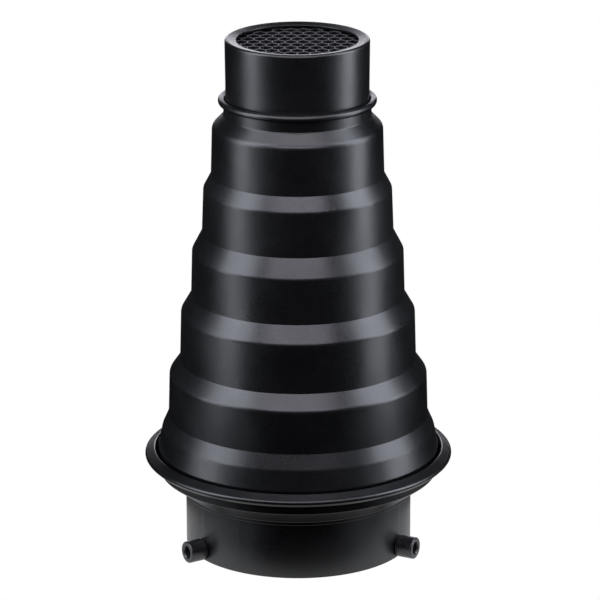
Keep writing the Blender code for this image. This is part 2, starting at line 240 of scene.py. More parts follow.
def extend_wire(places: Sequence[Vector]) -> None:
    """Extrudes the selected vertex from the first place through all the others."""
    for here, there in zip(places, places[1:]):
        bpy.ops.mesh.extrude_region_move(TRANSFORM_OT_translate={"value": there - here})


def close_wire(piece: Object) -> None:
    """Joins the two loose ends of the wire that is open for editing."""
    wire = bmesh.from_edit_mesh(piece.data)
    bpy.ops.mesh.select_all(action="DESELECT")
    for vertex in wire.verts:
        if len(vertex.link_edges) == 1:
            vertex.select_set(True)
    wire.select_flush_mode()
    bmesh.update_edit_mesh(piece.data)
    bpy.ops.mesh.edge_face_add()


def smooth(piece: Object, degrees: float = 32.0) -> Object:
    """Shades a piece smooth, apart from edges sharper than an angle."""
    pick(piece)
    bpy.ops.object.shade_smooth_by_angle(angle=math.radians(degrees))
    return piece


def turned(
    name: str,
    outline: Sequence[Vector],
    spindle: Spindle = Spindle(),
    facets: Facets = Facets.LARGE,
    sweep: float = math.tau,
) -> Object:
    """A piece spun from an outline.

    Args:
        name: the piece's name.
        outline: (radius, height) points. It is closed unless both its ends are on the axis.
        spindle: the axis that it is spun about.
        facets: how many facets a full turn has.
        sweep: the angle that it is spun through.

    Returns:
        The piece, closed and with its faces outwards.
    """
    places = [spindle.place(point) for point in outline]
    piece = start_wire(name, places[0])
    extend_wire(places)
    if outline[0].x > 0:
        close_wire(piece)
    bpy.ops.mesh.select_all(action="SELECT")
    if sweep < math.tau:
        bpy.ops.mesh.edge_face_add()
    bpy.ops.mesh.spin(
        steps=round(facets.value * sweep / math.tau),
        angle=sweep,
        center=spindle.origin * MM,
        axis=spindle.axis,
    )
    bpy.ops.mesh.select_all(action="SELECT")
    bpy.ops.mesh.remove_doubles(threshold=1e-6)
    bpy.ops.mesh.normals_make_consistent(inside=False)
    return smooth(piece)


def copied(piece: Object, name: str) -> Object:
    """A copy of a piece with its own mesh."""
    copy = piece.copy()
    copy.data = piece.data.copy()
    copy.name = name
    bpy.context.scene.collection.objects.link(copy)
    return copy


def turn_about_z(piece: Object, angle: float) -> None:
    """Turns a piece's mesh anticlockwise about the main axis, seen from above."""
    edit(piece)
    bpy.ops.mesh.select_all(action="SELECT")
    bpy.ops.transform.rotate(value=-angle, orient_axis="Z", center_override=(0, 0, 0))
    bpy.ops.object.mode_set(mode="OBJECT")


def apply_modifier(piece: Object, kind: str, **settings: object) -> None:
    """Adds a modifier with these settings and applies it."""
    pick(piece)
    modifier = piece.modifiers.new(kind.title(), kind)
    for setting, value in settings.items():
        setattr(modifier, setting, value)
    bpy.ops.object.modifier_apply(modifier=modifier.name)


def cut_away(piece: Object, cutter: Object) -> None:
    """Cuts a piece by another, which is kept for further cuts."""
    apply_modifier(piece, "BOOLEAN", operation="DIFFERENCE", solver="EXACT", object=cutter)


def joined(pieces: Sequence[Object]) -> Object:
    """One object made of all of these."""
    pick(*pieces)
    bpy.ops.object.join()
    return bpy.context.object


def discard(*pieces: Object) -> None:
    """Removes helper objects."""
    for piece in pieces:
        bpy.data.objects.remove(piece, do_unlink=True)


def cut_round(pieces: Sequence[Object], cutter: Object, count: int) -> None:
    """Cuts pieces at equal turns about the main axis.

    Args:
        pieces: the pieces to cut.
        cutter: the cutter on the +Y side, which is removed afterwards.
        count: how many cuts there are in all.
    """
    for i in range(count):
        here = copied(cutter, "cutter_here")
        turn_about_z(here, math.tau * i / count)
        for piece in pieces:
            cut_away(piece, here)
        discard(here)
    discard(cutter)


def box_of(piece: Object) -> tuple[Vector, Vector]:
    """The lowest and highest corner of a piece's mesh."""
    places = [v.co for v in piece.data.vertices]
    lowest = Vector(map(min, zip(*places)))
    highest = Vector(map(max, zip(*places)))
    return lowest, highest


def fit_out(piece: Object, node: str, body: Body, finish: Material) -> None:
    """Dresses a piece and puts it in its CAD node's stead.

    Args:
        piece: the finished piece.
        node: the CAD node that it stands for.
        body: the body that it rides on.
        finish: its material.
    """
    piece.data.materials.clear()
    piece.data.materials.append(finish)
    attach(piece, body.value)
    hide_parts(node)
    lowest, highest = box_of(piece)
    node_lowest, node_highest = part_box(node)
    below = max(a - b for a, b in zip(node_lowest, lowest)) / MM
    above = max(a - b for a, b in zip(highest, node_highest)) / MM
    past = max(below, above)
    LOG.info("%s: %d faces, %.2f mm past its node", piece.name, len(piece.data.polygons), past)


# Finishes


class Sockets:
    """Adds nodes to one node tree and links them."""

    def __init__(self, tree: NodeTree) -> None:
        """Works on this tree."""
        self.tree = tree

    def add(
        self, kind: str, inputs: Optional[dict[str | int, object]] = None, **settings: object
    ) -> Node:
        """Adds a node.

        Args:
            kind: the node's type, without its ShaderNode prefix.
            inputs: values, or sockets to link, by input name or number.
            settings: the node's own properties.

        Returns:
            The node.
        """
        node = self.tree.nodes.new("ShaderNode" + kind)
        for setting, value in settings.items():
            setattr(node, setting, value)
        for key, value in (inputs or {}).items():
            self.feed(node.inputs[key], value)
        return node

    def feed(self, socket: NodeSocket, value: object) -> None:
        """Links a socket to another, or sets its value."""
        if isinstance(value, NodeSocket):
            self.tree.links.new(value, socket)
        else:
            socket.default_value = value

    def maths(self, operation: str, *values: object, clamp: bool = False) -> NodeSocket:
        """The result of a maths node."""
        node = self.add("Math", operation=operation, use_clamp=clamp)
        for socket, value in zip(node.inputs, values):
            self.feed(socket, value)
        return node.outputs[0]

    def blend(self, factor: object, low: object, high: object) -> NodeSocket:
        """A colour between two others."""
        node = self.add("Mix", data_type="RGBA", blend_type="MIX", clamp_factor=True)
        self.feed(node.inputs[0], factor)
        self.feed(node.inputs[6], low)
        self.feed(node.inputs[7], high)
        return node.outputs[2]

    def noise(
        self, place: object, scale: object, detail: float = 2.0, rough: float = 0.5
    ) -> NodeSocket:
        """Noise from 0 to 1 at a place."""
        inputs = {"Vector": place, "Scale": scale, "Detail": detail, "Roughness": rough}
        return self.add("TexNoise", inputs).outputs[0]

    def raise_surface(self, shader: Node, height: object) -> None:
        """Gives a shader a bump of this height in metres."""
        bump = self.add("Bump", {"Height": height, "Distance": 1.0, "Strength": 1.0})
        self.feed(shader.inputs["Normal"], bump.outputs[0])


def new_group(name: str, inputs: dict[str, float], outputs: Iterable[str]) -> NodeTree:
    """An empty shader node group with float sockets.

    Args:
        name: the group's name.
        inputs: its inputs and their starting values.
        outputs: its outputs.

    Returns:
        The group's tree, with its input and output nodes.
    """
    tree = bpy.data.node_groups.new(name, "ShaderNodeTree")
    for label, value in inputs.items():
        made = tree.interface.new_socket(name=label, in_out="INPUT", socket_type="NodeSocketFloat")
        made.default_value = value
    for label in outputs:
        tree.interface.new_socket(name=label, in_out="OUTPUT", socket_type="NodeSocketFloat")
    tree.nodes.new("NodeGroupInput")
    tree.nodes.new("NodeGroupOutput")
    return tree


def group_ends(tree: NodeTree) -> tuple[Node, Node]:
    """A group's input and output nodes."""
    return tree.nodes["Group Input"], tree.nodes["Group Output"]


COAT_GRAIN = {"Grain Size": 0.0009, "Swell Size": 0.006}
STEEL_GRAIN = {"Grain Size": 0.0003, "Swell Size": 0.0015}
RING_PITCH = 0.0012
PATCH_SCALE = 38.0
BREAKUP_SCALE = 420.0


class Effects:
    """The shader node groups that several finishes share."""

    def __init__(self) -> None:
        """Builds each group once."""
        self.grain = self.build_grain()
        self.rings = self.build_rings()
        self.wear = self.build_wear()

    @staticmethod
    def build_grain() -> NodeTree:
        """Grain of a sprayed and baked coat: fine pimples over a slow swell."""
        tree = new_group("coat_grain", COAT_GRAIN, ("Height", "Shade", "Dullness"))
        start, end = group_ends(tree)
        nodes = Sockets(tree)
        place = nodes.add("TexCoord").outputs["Object"]
        fine_scale = nodes.maths("DIVIDE", 1.0, start.outputs["Grain Size"])
        slow_scale = nodes.maths("DIVIDE", 1.0, start.outputs["Swell Size"])
        fine = nodes.noise(place, fine_scale, 3.0, 0.62)
        slow = nodes.noise(place, slow_scale, 1.0)
        patches = nodes.noise(place, PATCH_SCALE, 3.0, 0.55)
        height = nodes.maths("MULTIPLY_ADD", slow, 0.5, fine)
        nodes.feed(end.inputs["Height"], height)
        nodes.feed(end.inputs["Shade"], fine)
        nodes.feed(end.inputs["Dullness"], patches)
        return tree

    @staticmethod
    def build_rings() -> NodeTree:
        """Faint rings left by the spinning tool, square to the main axis."""
        tree = new_group("spun_rings", {"Ring Pitch": RING_PITCH}, ("Height",))
        start, end = group_ends(tree)
        nodes = Sockets(tree)
        place = nodes.add("TexCoord").outputs["Object"]
        split = nodes.add("SeparateXYZ", {0: place})
        x, y, height = split.outputs
        squared = nodes.maths("MULTIPLY_ADD", y, y, nodes.maths("MULTIPLY", x, x))
        radius = nodes.maths("SQRT", squared)
        along = nodes.maths("SUBTRACT", height, radius)
        turns = nodes.maths("DIVIDE", along, start.outputs["Ring Pitch"])
        inputs = {"W": turns, "Scale": 1.0, "Detail": 2.0}
        rings = nodes.add("TexNoise", inputs, noise_dimensions="1D")
        nodes.feed(end.inputs["Height"], rings.outputs[0])
        return tree

    @staticmethod
    def build_wear() -> NodeTree:
        """Where edges have been rubbed: a mask that is broken up by noise."""
        inputs = {"Edge Start": 0.53, "Edge End": 0.6}
        tree = new_group("edge_wear", inputs, ("Mask",))
        start, end = group_ends(tree)
        nodes = Sockets(tree)
        place = nodes.add("TexCoord").outputs["Object"]
        pointed = nodes.add("NewGeometry").outputs["Pointiness"]
        span = nodes.maths("SUBTRACT", start.outputs["Edge End"], start.outputs["Edge Start"])
        above = nodes.maths("SUBTRACT", pointed, start.outputs["Edge Start"])
        edge = nodes.maths("DIVIDE", above, span, clamp=True)
        breakup = nodes.noise(place, BREAKUP_SCALE, 4.0, 0.6)
        kept = nodes.maths("MULTIPLY_ADD", breakup, 2.4, -0.7, clamp=True)
        nodes.feed(end.inputs["Mask"], nodes.maths("MULTIPLY", edge, kept))
        return tree


Colour = tuple[float, float, float]


def rgba(colour: Colour, factor: float = 1.0) -> tuple[float, float, float, float]:
    """A colour scaled by a factor, with full alpha."""
    return (colour[0] * factor, colour[1] * factor, colour[2] * factor, 1.0)


def blank_material(name: str) -> tuple[Material, Sockets, Node]:
    """A material, its node maker and its Principled shader."""
    material = bpy.data.materials.new(name)
    material.use_nodes = True
    shader = material.node_tree.nodes["Principled BSDF"]
    return material, Sockets(material.node_tree), shader


@dataclass(frozen=True)
class CoatFinish:
    """Satin black coat on aluminium.

    Args:
        name: the material's name.
        colour: the coat's colour.
        rubbed: the colour of a rubbed edge.
        roughness: how dull the coat is, before its patches.
        patchiness: how much the dullness varies from place to place.
        speckle: how much the dullness varies from grain to grain.
        grain: height of the grain, in millimetres.
        rings: height of the spinning rings, in millimetres.
        level: strength of the mirror reflection, 0.5 for an ordinary coat.
        wear: how much of the rubbed colour a rubbed edge shows.
    """

    name: str
    colour: Colour = (0.0022, 0.0024, 0.0028)
    rubbed: Colour = (0.06, 0.062, 0.068)
    roughness: float = 0.33
    patchiness: float = 0.11
    speckle: float = 0.1
    grain: float = 0.02
    rings: float = 0.002
    level: float = 0.8
    wear: float = 0.55

    def make(self, effects: Effects) -> Material:
        """Builds the material.

        Args:
            effects: the shared node groups.

        Returns:
            The material.
        """
        material, nodes, shader = blank_material(self.name)
        grain = nodes.add("Group", COAT_GRAIN, node_tree=effects.grain)
        rings = nodes.add("Group", {"Ring Pitch": RING_PITCH}, node_tree=effects.rings)
        wear = nodes.add("Group", node_tree=effects.wear)
        shade = nodes.blend(grain.outputs["Shade"], rgba(self.colour, 0.7), rgba(self.colour, 1.3))
        worn = nodes.maths("MULTIPLY", wear.outputs["Mask"], self.wear)
        nodes.feed(shader.inputs["Base Color"], nodes.blend(worn, shade, rgba(self.rubbed)))
        centred = nodes.maths("SUBTRACT", grain.outputs["Dullness"], 0.5)
        dull = nodes.maths("MULTIPLY_ADD", centred, self.patchiness * 2, self.roughness)
        grains = nodes.maths("SUBTRACT", grain.outputs["Shade"], 0.5)
        dull = nodes.maths("MULTIPLY_ADD", grains, self.speckle * 2, dull)
        nodes.feed(shader.inputs["Roughness"], dull)
        pimples = nodes.maths("MULTIPLY", grain.outputs["Height"], self.grain * MM)
        height = nodes.maths("MULTIPLY_ADD", rings.outputs["Height"], self.rings * MM, pimples)
        nodes.raise_surface(shader, height)
        shader.inputs["Specular IOR Level"].default_value = self.level
        return material


@dataclass(frozen=True)
class FoilFinish:
    """Black foil whose sawn edges show bare metal, with a painted highlight along the top of each
    face.

    Args:
        name: the material's name.
        colour: the foil's face.
        sawn: the sawn edge.
        painted_edge_highlight: a lighter strip painted along each face by its sawn edges; at the
            top it is a painted highlight where light catches the cell walls, and the same strip
            runs along the foot.
        roughness: how dull the face is.
        foot: height of the lower sawn edges, in millimetres.
        top: height of the upper sawn edges, in millimetres.
        highlight_width: width of that strip, in millimetres.
        highlight_breakup_scale: how many swells of that strip's width lie along a metre.
        flatness: how level a face is, from 0 to 1, before it counts as sawn.
        crinkle: height of the foil's crinkles, in millimetres.
    """

    name: str
    colour: Colour = (0.006, 0.006, 0.0066)
    sawn: Colour = (0.08, 0.08, 0.084)
    painted_edge_highlight: Colour = (0.14, 0.14, 0.145)
    roughness: float = 0.45
    foot: float = 203.45
    top: float = 224.45
    highlight_width: float = 0.2
    highlight_breakup_scale: float = 900.0
    flatness: float = 0.8
    crinkle: float = 0.004

    def make(self, effects: Effects) -> Material:
        """Builds the material.

        Args:
            effects: the shared node groups.

        Returns:
            The material.
        """
        material, nodes, shader = blank_material(self.name)
        grain = nodes.add("Group", COAT_GRAIN, node_tree=effects.grain)
        facing = nodes.add("NewGeometry").outputs["True Normal"]
        upright = nodes.maths("ABSOLUTE", nodes.add("SeparateXYZ", {0: facing}).outputs[2])
        sawn = nodes.maths("GREATER_THAN", upright, self.flatness)
        place = nodes.add("TexCoord").outputs["Object"]
        height = nodes.add("SeparateXYZ", {0: place}).outputs[2]
        # Painted highlight: a lighter strip along each face's top and foot stands in for the light
        # that catches the cell walls' upper edges.
        highlight_breakup = nodes.noise(place, self.highlight_breakup_scale)
        reach = nodes.maths("MULTIPLY", highlight_breakup, 2 * self.highlight_width * MM)
        inside_top = nodes.maths("SUBTRACT", self.top * MM, height)
        inside_foot = nodes.maths("SUBTRACT", height, self.foot * MM)
        depth = nodes.maths("MINIMUM", inside_top, inside_foot)
        highlight_mask = nodes.maths("LESS_THAN", depth, reach)
        face = nodes.blend(grain.outputs["Shade"], rgba(self.colour, 0.6), rgba(self.colour, 1.4))
        edge = nodes.blend(grain.outputs["Dullness"], rgba(self.sawn, 0.55), rgba(self.sawn, 1.35))
        side = nodes.blend(highlight_mask, face, rgba(self.painted_edge_highlight))
        nodes.feed(shader.inputs["Base Color"], nodes.blend(sawn, side, edge))
        dull = nodes.maths("MULTIPLY_ADD", grain.outputs["Dullness"], 0.2, self.roughness - 0.1)
        nodes.feed(shader.inputs["Roughness"], dull)
        crinkle = nodes.maths("MULTIPLY", grain.outputs["Height"], self.crinkle * MM)
        nodes.raise_surface(shader, crinkle)
        return material


@dataclass(frozen=True)
class SteelFinish:
    """Plated or blackened steel.

    Args:
        name: the material's name.
        colour: the metal's colour.
        worn: the colour of its rubbed edges.
        roughness: how dull it is.
        grain: height of its grain, in millimetres.
    """

    name: str
    colour: Colour
    worn: Colour
    roughness: float
    grain: float = 0.002

    def make(self, effects: Effects) -> Material:
        """Builds the material.

        Args:
            effects: the shared node groups.

        Returns:
            The material.
        """
        material, nodes, shader = blank_material(self.name)
        grain = nodes.add("Group", STEEL_GRAIN, node_tree=effects.grain)
        wear = nodes.add("Group", node_tree=effects.wear)
        darker, lighter = rgba(self.colour, 0.75), rgba(self.colour, 1.25)
        shade = nodes.blend(grain.outputs["Shade"], darker, lighter)
        colour = nodes.blend(wear.outputs["Mask"], shade, rgba(self.worn))
        nodes.feed(shader.inputs["Base Color"], colour)
        dull = nodes.maths("MULTIPLY_ADD", grain.outputs["Shade"], 0.2, self.roughness - 0.1)
        nodes.feed(shader.inputs["Roughness"], dull)
        height = nodes.maths("MULTIPLY", grain.outputs["Height"], self.grain * MM)
        nodes.raise_surface(shader, height)
        shader.inputs["Metallic"].default_value = 1.0
        return material


# Sub-assemblies


@dataclass
class Base:
    """The mount neck and the dish that it is riveted to.

    The dish's floor slopes up from a collar round the neck. The neck's top is flanged out over
    the floor, and the cone's foot flange lies over both.
    """

    neck_radius: float = 49.3
    neck_wall: float = 1.5
    neck_chamfer: float = 0.25
    neck_flange_run: float = 9.0
    sheet: float = 1.2
    cone_sheet: float = 0.7
    gap: float = 0.3
    collar_foot: float = 24.6
    floor_start: Vector = field(default_factory=lambda: Vector((50.8, 26.3)))
    floor_end: Vector = field(default_factory=lambda: Vector((60.8, 33.6)))
    crown: Vector = field(default_factory=lambda: Vector((62.7, 43.8)))
    lip_end: Vector = field(default_factory=lambda: Vector((67.8, 41.05)))
    curl_end: Vector = field(default_factory=lambda: Vector((65.4, 38.75)))
    corner_fillet: float = 1.1
    crown_fillet: float = 0.45
    rim_fillet: float = 1.2
    rivets: int = 3
    rivet_run: float = 5.4
    rivet_radius: float = 1.6
    rivet_head_radius: float = 2.7
    rivet_head_depth: float = 1.1
    rivet_seam: float = 0.04
    formed_radius: float = 2.6
    formed_height: float = 1.2

    def __post_init__(self) -> None:
        """Works out the floor's directions and the levels of the layers on it."""
        self.along = (self.floor_end - self.floor_start).normalized()
        self.up = Vector((-self.along.y, self.along.x))
        self.neck_level = self.sheet + self.gap
        self.cone_level = self.neck_level + self.neck_wall + self.gap
        self.cone_top_level = self.cone_level + self.cone_sheet

    def on_floor(self, run: float, level: float = 0.0) -> Vector:
        """A point this far up the floor's slope and this far above its underside."""
        return self.floor_start + run * self.along + level * self.up

    def at_radius(self, radius: float, level: float) -> Vector:
        """The point at a radius on the layer at this level."""
        base = self.on_floor(0.0, level)
        return base + self.along * ((radius - base.x) / self.along.x)

    def wall_foot(self, level: float, inset: float) -> Vector:
        """Where the layer at a level meets the line this far inside the dish's wall."""
        wall = (self.crown - self.floor_end).normalized()
        start = self.crown + Vector((-wall.y, wall.x)) * inset
        base = self.on_floor(0.0, level)
        offset = start - base
        turn = self.along.x * wall.y - self.along.y * wall.x
        run = (offset.x * wall.y - offset.y * wall.x) / turn
        return base + self.along * run

    def rivet_spindle(self) -> Spindle:
        """The axis of the rivet on the +Y side, from the floor's underside up."""
        foot = self.on_floor(self.rivet_run)
        axis = Vector((0, self.up.x, self.up.y))
        return Spindle(Vector((0, foot.x, foot.y)), X_AXIS.copy(), axis)

    def build_dish(self) -> Object:
        """The dish: collar, floor, wall and folded rim, all one sheet."""
        collar_radius = self.neck_radius + self.gap
        inner_floor = self.at_radius(collar_radius, self.sheet)
        inner_corner = self.wall_foot(self.sheet, 0.0)
        under = rounded(
            [
                Corner(collar_radius + 0.15, self.collar_foot),
                Corner(collar_radius + self.sheet, self.collar_foot, 0.5),
                Corner(*self.floor_start, 0.7),
                Corner(*self.floor_end, self.corner_fillet),
                Corner(self.crown.x - 0.35, self.crown.y - 1.35, 0.3),
                Corner(self.lip_end.x - 1.3, self.lip_end.y - 0.9, 0.45),
                Corner(self.curl_end.x - 0.2, self.curl_end.y + 0.75),
            ]
        )
        over = rounded(
            [
                Corner(collar_radius, self.collar_foot + 0.15),
                Corner(*inner_floor, 0.5),
                Corner(*inner_corner, 0.8),
                Corner(*self.crown, self.crown_fillet),
                Corner(*self.lip_end, self.rim_fillet),
                Corner(*self.curl_end, 0.4),
                Corner(self.curl_end.x - 0.35, self.curl_end.y + 0.3),
            ]
        )
        return turned("dish_shell", over + under[::-1])

    def build_neck(self) -> Object:
        """The neck: a tube whose top is flanged out over the dish's floor."""
        inner_radius = self.neck_radius - self.neck_wall
        bend = self.at_radius(self.neck_radius, self.neck_level)
        inner_bend = self.at_radius(inner_radius, self.neck_level + self.neck_wall)
        edge = self.neck_chamfer
        outer = rounded(
            [
                Corner(self.neck_radius - 0.75, 0.0),
                Corner(self.neck_radius, 0.0, edge),
                Corner(*bend, 0.5),
                Corner(*self.on_floor(self.neck_flange_run, self.neck_level)),
            ]
        )
        inner = rounded(
            [
                Corner(self.neck_radius - 0.75, 0.0),
                Corner(inner_radius, 0.0, edge),
                Corner(*inner_bend, 2.0),
                Corner(*self.on_floor(self.neck_flange_run, self.neck_level + self.neck_wall)),
            ]
        )
        return turned("neck_tube", outer + inner[:0:-1])

    def rivet_outline(self, seam: float) -> list[Vector]:
        """The rivet's countersunk head and shank, grown by a seam, up to the top layer."""
        return [
            Vector((self.rivet_head_radius + seam, 0)),
            Vector((self.rivet_head_radius + seam - 0.1, 0.25)),
            Vector((self.rivet_radius + seam, self.rivet_head_depth)),
        ]

    def build_rivet(self) -> Object:
        """A flush rivet with its formed head inside the dish."""
        seat = self.cone_top_level + 0.05
        formed = rounded(
            [
                Corner(self.rivet_radius, self.rivet_head_depth),
                Corner(self.rivet_radius, seat),
                Corner(self.formed_radius, seat, 0.15),
                Corner(self.formed_radius * 0.94, seat + self.formed_height * 0.62, 0.7),
                Corner(self.formed_radius * 0.4, seat + self.formed_height, 1.2),
                Corner(0, seat + self.formed_height),
            ],
            step=12,
            hold=0.05,
        )
        outline = [Vector((0, 0.03)), Vector((2.2, 0.03)), Vector((2.6, 0.06))]
        outline += [Vector((self.rivet_head_radius, 0.2))] + formed
        return turned("flush_rivet_1", outline, self.rivet_spindle(), Facets.SMALL)

    def cut_rivet_holes(self, pieces: Sequence[Object]) -> None:
        """Cuts the countersunk rivet holes through all the layers."""
        top = self.cone_top_level + 1.0
        low = Vector((self.rivet_head_radius + self.rivet_seam, -1.0))
        high = Vector((self.rivet_radius + self.rivet_seam, top))
        middle = self.rivet_outline(self.rivet_seam)
        outline = [Vector((0, -1.0)), low, *middle, high, Vector((0, top))]
        cutter = turned("rivet_cutter", outline, self.rivet_spindle(), Facets.SMALL)
        cut_round(pieces, cutter, self.rivets)

    def build(self, cone: Object, studs: "BayonetStuds") -> None:
        """Builds and cuts all the base's pieces.

        Args:
            cone: the cone, whose foot flange is drilled with the floor.
            studs: the bayonet studs, whose screws go through the neck.
        """
        self.dish = self.build_dish()
        self.neck = self.build_neck()
        self.cut_rivet_holes([self.dish, self.neck, cone])
        studs.cut_screw_holes(self.neck)
        for piece in (self.dish, self.neck, cone):
            smooth(piece)
        first = self.build_rivet()
        self.rivet_pieces = repeated(first, self.rivets, "flush_rivet")

    def dress(self, dish: Material, neck: Material) -> None:
        """Dresses the base.

        Args:
            dish: the dish's finish, which covers the rivets too.
            neck: the neck's finish.
        """
        fit_out(self.dish, "base_dish", Body.SNOOT, dish)
        fit_out(self.neck, "mount_neck", Body.SNOOT, neck)
        for i, piece in enumerate(self.rivet_pieces, 1):
            fit_out(piece, f"floor_rivet_{i}", Body.SNOOT, dish)


def repeated(first: Object, count: int, stem: str) -> list[Object]:
    """A piece and its copies at equal turns about the main axis.

    Args:
        first: the piece on the +Y side.
        count: how many there are in all.
        stem: the pieces' name, without their number.

    Returns:
        The pieces, anticlockwise from above.
    """
    pieces = [first]
    for i in range(1, count):
        copy = copied(first, f"{stem}_{i + 1}")
        turn_about_z(copy, math.tau * i / count)
        pieces.append(copy)
    return pieces


@dataclass
class ConeShell:
    """The spun cone: foot flange, tiers, nozzle and rolled bead."""

    sheet: float = 0.7
    foot_gap: float = 1.5
    flange_start: float = 2.4
    tiers: tuple[Corner, ...] = (
        Corner(61.2, 44.1, 1.4),
        Corner(59.42, 52.8, 5.0),
        Corner(56.55, 59.25, 0.35),
        Corner(56.0, 77.9, 3.0),
        Corner(51.3, 84.5, 0.35),
        Corner(50.7, 105.85, 3.0),
        Corner(46.22, 113.5, 0.35),
        Corner(45.66, 133.2, 3.0),
        Corner(41.3, 141.5, 0.35),
        Corner(40.55, 160.9, 3.2),
        Corner(37.22, 167.2, 0.35),
        Corner(36.62, 188.3, 3.6),
        Corner(31.65, 193.4, 0.5),
    )
    bore: float = 30.95
    bead_radius: float = 1.5
    bead_height: float = 199.6

    def build(self, base: Base) -> Object:
        """Spins the cone.

        Args:
            base: the base that the cone's foot flange lies on.

        Returns:
            The cone.
        """
        wall = rounded(
            [
                Corner(*base.on_floor(self.flange_start, base.cone_level)),
                Corner(*base.wall_foot(base.cone_level, self.foot_gap), 1.4),
                *self.tiers,
                Corner(self.bore + self.sheet, self.bead_height - self.bead_radius * 0.9),
            ]
        )
        inner = beside(wall, self.sheet)
        centre = Vector((self.bore + self.bead_radius, self.bead_height))
        foot = -math.acos((self.bore + self.sheet - centre.x) / self.bead_radius)
        bead = arc(centre, self.bead_radius, foot, math.pi, 26)
        self.piece = turned("cone_spun", wall[:-1] + bead + inner[:-1][::-1])
        return self.piece

    def dress(self, finish: Material) -> None:
        """Dresses the cone."""
        fit_out(self.piece, "cone_shell", Body.SNOOT, finish)


@dataclass
class BayonetStuds:
    """Three hollow studs round the neck, each held by a screw and washer from inside."""

    count: int = 3
    neck_radius: float = 49.3
    neck_wall: float = 1.5
    height: float = 4.9
    radius: float = 4.75
    length: float = 8.1
    bore: float = 2.6
    mouth: float = 0.4
    edge: float = 0.55
    gap: float = 0.3
    screw_radius: float = 2.3
    screw_reach: float = 5.0
    head_radius: float = 4.3
    head_height: float = 2.3
    socket: float = 1.6
    socket_depth: float = 1.3
    washer_radius: float = 4.5
    washer_thickness: float = 0.6

    def __post_init__(self) -> None:
        """Works out where each layer is, from the main axis."""
        self.spindle = Spindle(Vector((0, 0, self.height)), X_AXIS.copy(), Y_AXIS.copy())
        inner_wall = math.sqrt((self.neck_radius - self.neck_wall) ** 2 - self.washer_radius**2)
        self.root = self.neck_radius + self.gap
        self.tip = self.neck_radius + self.length
        self.washer_seat = inner_wall - self.gap
        self.head_seat = self.washer_seat - self.washer_thickness - self.gap
        self.head_top = self.head_seat - self.head_height

    def build_stud(self) -> Object:
        """A hollow stud with a rounded tip and a fine neck at its root."""
        outer = rounded(
            [
                Corner(self.bore, self.root),
                Corner(self.radius - 0.3, self.root),
                Corner(self.radius - 0.3, self.root + 0.5),
                Corner(self.radius, self.root + 0.8, 0.1),
                Corner(self.radius, self.tip, self.edge),
                Corner(self.bore + self.mouth, self.tip, 0.12),
                Corner(self.bore, self.tip - self.mouth - 0.2, 0.1),
                Corner(self.bore, self.root + 0.1),
            ],
            step=10,
            hold=0.1,
        )
        return turned("stud_pin_1", outer, self.spindle, Facets.PIN)

    def build_screw(self) -> Object:
        """A button-head screw with a hexagon socket."""
        top = self.head_top
        outline = rounded(
            [
                Corner(0, top),
                Corner(self.head_radius * 0.52, top, 0.3),
                Corner(self.head_radius * 0.9, top + self.head_height * 0.36, 1.4),
                Corner(self.head_radius, top + self.head_height * 0.8, 0.6),
                Corner(self.head_radius, self.head_seat, 0.12),
                Corner(self.screw_radius, self.head_seat),
                Corner(self.screw_radius, self.root + self.screw_reach, 0.4),
                Corner(0, self.root + self.screw_reach),
            ],
            step=10,
            hold=0.1,
        )
        screw = turned("socket_screw_1", outline, self.spindle, Facets.PIN)
        deselect_everything()
        depth = (self.socket_depth + 1.0) * MM
        middle = (top + self.socket_depth) * MM - depth / 2
        bpy.ops.mesh.primitive_cylinder_add(
            vertices=6,
            radius=self.socket / math.cos(math.pi / 6) * MM,
            depth=depth,
            location=(0, middle, self.height * MM),
            rotation=(math.pi / 2, 0, 0),
        )
        key = bpy.context.object
        cut_away(screw, key)
        discard(key)
        return smooth(screw)

    def build_washer(self) -> Object:
        """A flat washer with softened edges."""
        low = self.washer_seat - self.washer_thickness
        outline = rounded(
            [
                Corner(self.bore, low + 0.3),
                Corner(self.bore, low, 0.08),
                Corner(self.washer_radius, low, 0.12),
                Corner(self.washer_radius, self.washer_seat, 0.12),
                Corner(self.bore, self.washer_seat, 0.08),
                Corner(self.bore, low + 0.35),
            ],
            step=20,
            hold=0.1,
        )
        return turned("flat_washer_1", outline, self.spindle, Facets.PIN)

    def cut_screw_holes(self, neck: Object) -> None:
        """Drills the neck for the screws."""
        reach = self.screw_radius + 0.15
        low = self.neck_radius - 4 * self.neck_wall
        high = self.neck_radius + self.neck_wall
        outline = [Vector((0, low)), Vector((reach, low)), Vector((reach, high)), Vector((0, high))]
        cut_round([neck], turned("drill", outline, self.spindle, Facets.SMALL), self.count)

    def build(self) -> None:
        """Builds the first of each piece and repeats it round the neck."""
        self.studs = repeated(self.build_stud(), self.count, "stud_pin")
        self.screws = repeated(self.build_screw(), self.count, "socket_screw")
        self.washers = repeated(self.build_washer(), self.count, "flat_washer")

    def dress(self, coat: Material, black: Material, zinc: Material) -> None:
        """Dresses the studs, screws and washers.

        Args:
            coat: the studs' finish.
            black: the screws' finish.
            zinc: the washers' finish.
        """
        for i in range(self.count):
            fit_out(self.studs[i], f"bayonet_stud_{i + 1}", Body.SNOOT, coat)
            fit_out(self.screws[i], f"stud_screw_{i + 1}", Body.SNOOT, black)
            fit_out(self.washers[i], f"stud_washer_{i + 1}", Body.SNOOT, zinc)


